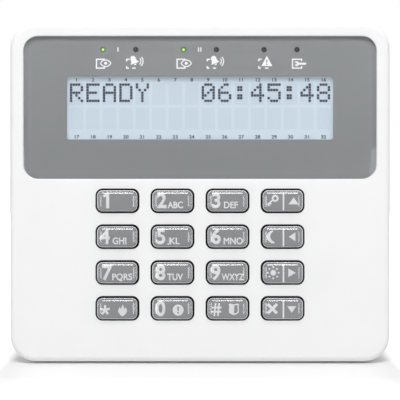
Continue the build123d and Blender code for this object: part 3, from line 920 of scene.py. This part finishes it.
def window_signs():
    """The white signs under the six lamps and the two partition numbers."""
    meshes = []
    ink_front = film_front + ink_thickness
    for name, shapes in signs.items():
        place = (led_middles[name].x, led_middles[name].z - sign_drop)
        meshes += printed(moved(shapes, place), ink_front)
    partitions = (("armed_1", "alarm_1", 1, -0.5), ("armed_2", "alarm_2", 2, -0.1))
    for first, second, count, shift in partitions:
        middle_x = (led_middles[first].x + led_middles[second].x) / 2 + shift
        middle_z = led_middles[first].z
        for i in range(count):
            x = middle_x + (i - (count - 1) / 2) * 0.85
            line = stroke([(x, middle_z - 0.8), (x, middle_z + 0.8)], 0.42)
            meshes.append(flat_mesh(line, ink_front))
    piece("window_signs", meshes, [white_ink], "cover")


window_signs()


# ---------------------------------------------------------------- painted shade on the sides of the key openings
def darken_openings():
    """Paints the walls of the sixteen key openings near black, as painted shade of a deep, narrow gap.
    """
    cover = nodes["front_cover"].data
    cover.materials.append(gap_painted_shade)
    plate_back = case_front - plate_thickness
    openings = []
    for row in key_names:
        for key in row:
            low, high, _ = in_mm(f"key_{key}")
            openings.append((low.x, high.x, low.z, high.z))
    for face in cover.polygons:
        x, y, z = face.center / mm
        on_wall = abs(face.normal.y) < 0.5 and plate_back - 0.1 < -y < case_front + 0.1
        if on_wall and any(a < x < b and c < z < d for a, b, c, d in openings):
            face.material_index = 1


darken_openings()


# ---------------------------------------------------------------- floor, light and camera
def studio_floor():
    """A white floor just below the panel. The camera sees it brighten to white away from the panel."""
    floor_z = (case_low.z - 0.6) * mm
    half_floor = 3.0
    corners = [(-1, -1), (1, -1), (1, 1), (-1, 1)]
    mesh = bpy.data.meshes.new("studio_floor")
    mesh.from_pydata([(x * half_floor, y * half_floor, floor_z) for x, y in corners], [], [(0, 1, 2, 3)])
    material, tree, shader = blank_material("floor")
    white = tinted(tree, noise(tree, 6), (0.87, 0.87, 0.87), (0.89, 0.89, 0.89))
    tree.links.new(white, shader.inputs["Base Color"])
    shader.inputs["Roughness"].default_value = 0.12
    shader.inputs["Specular IOR Level"].default_value = 0.3

    half_case = (case_high - case_low) * mm / 2
    beside = Vector((half_case.x, half_floor, half_floor))
    before = Vector((half_floor, half_case.y, half_floor))
    glow_sum = tree.nodes.new("ShaderNodeMath")
    glow_sum.operation = "ADD"
    for i, (half, fade) in enumerate(((beside, (0.0, 0.007)), (before, (0.02, 0.08)))):
        glow = ranged(tree, distance_outside(tree, case_middle * mm, half), fade, (0.0, 0.5))
        tree.links.new(glow, glow_sum.inputs[i])
    path = tree.nodes.new("ShaderNodeLightPath")
    seen_glow = tree.nodes.new("ShaderNodeMath")
    seen_glow.operation = "MULTIPLY"
    tree.links.new(glow_sum.outputs["Value"], seen_glow.inputs[0])
    tree.links.new(path.outputs["Is Camera Ray"], seen_glow.inputs[1])
    tree.links.new(seen_glow.outputs["Value"], shader.inputs["Emission Strength"])
    shader.inputs["Emission Color"].default_value = (1, 1, 1, 1)
    mesh.materials.append(material)
    floor = bpy.data.objects.new("studio_floor", mesh)
    bpy.context.scene.collection.objects.link(floor)
    floor.visible_glossy = False


def room():
    """An even white room: dim as a lamp, half bright in a mirror, and white to the camera."""
    world = bpy.data.worlds.new("studio")
    bpy.context.scene.world = world
    world.use_nodes = True
    tree = world.node_tree
    lighting = tree.nodes["Background"]
    lighting.inputs["Color"].default_value = (1, 1, 1, 1)
    lighting.inputs["Strength"].default_value = 0.365
    backdrop = tree.nodes.new("ShaderNodeBackground")
    backdrop.inputs["Color"].default_value = (1, 1, 1, 1)
    path = tree.nodes.new("ShaderNodeLightPath")
    share = tree.nodes.new("ShaderNodeMath")
    share.operation = "MULTIPLY_ADD"
    share.inputs[1].default_value = 0.5
    seen = tree.nodes.new("ShaderNodeMixShader")
    tree.links.new(path.outputs["Is Glossy Ray"], share.inputs[0])
    tree.links.new(path.outputs["Is Camera Ray"], share.inputs[2])
    tree.links.new(share.outputs["Value"], seen.inputs["Fac"])
    tree.links.new(lighting.outputs["Background"], seen.inputs[1])
    tree.links.new(backdrop.outputs["Background"], seen.inputs[2])
    tree.links.new(seen.outputs["Shader"], tree.nodes["World Output"].inputs["Surface"])


def lamps():
    """Five soft boxes, all aimed at the panel; the one that casts the shadows isn't mirrored."""
    for name, direction, distance, size, radiance in (
        ("top_box", (0, -0.649, 0.760), 0.9, (0.42, 0.20), 5.0),
        ("left_box", (-0.629, -0.777, -0.08), 0.9, (0.34, 0.28), 2.2),
        ("right_box", (0.559, -0.829, -0.08), 0.9, (0.34, 0.28), 2.2),
        ("ceiling_box", (0, -0.1, 1.0), 1.2, (1.6, 1.4), 0.52),
        ("shadow_box", (0, -0.5, 0.866), 1.2, (0.35, 0.25), 26.0),
    ):
        lamp = bpy.data.lights.new(name, "AREA")
        lamp.shape = "RECTANGLE"
        lamp.size, lamp.size_y = size
        lamp.energy = radiance * math.pi * size[0] * size[1]
        holder = bpy.data.objects.new(name, lamp)
        bpy.context.scene.collection.objects.link(holder)
        holder.location = Vector(direction).normalized() * distance
        holder.rotation_euler = Vector(direction).to_track_quat("Z", "Y").to_euler()
        holder.visible_camera = False
        holder.visible_glossy = name != "shadow_box"


def camera():
    """Straight in front of the panel, a little below its middle."""
    distance = 0.275
    half_view = 0.07281
    height = -0.00288
    lens = bpy.data.cameras.new("camera")
    lens.sensor_width = 36.0
    lens.lens = lens.sensor_width / 2 * distance / half_view
    lens.clip_start = 0.01
    holder = bpy.data.objects.new("camera", lens)
    bpy.context.scene.collection.objects.link(holder)
    holder.location = (0, -case_front * mm - distance, height)
    holder.rotation_euler = (math.pi / 2, 0, 0)
    bpy.context.scene.camera = holder


studio_floor()
room()
lamps()
camera()
bpy.context.scene.view_settings.view_transform = "Standard"
bpy.context.scene.cycles.use_denoising = True
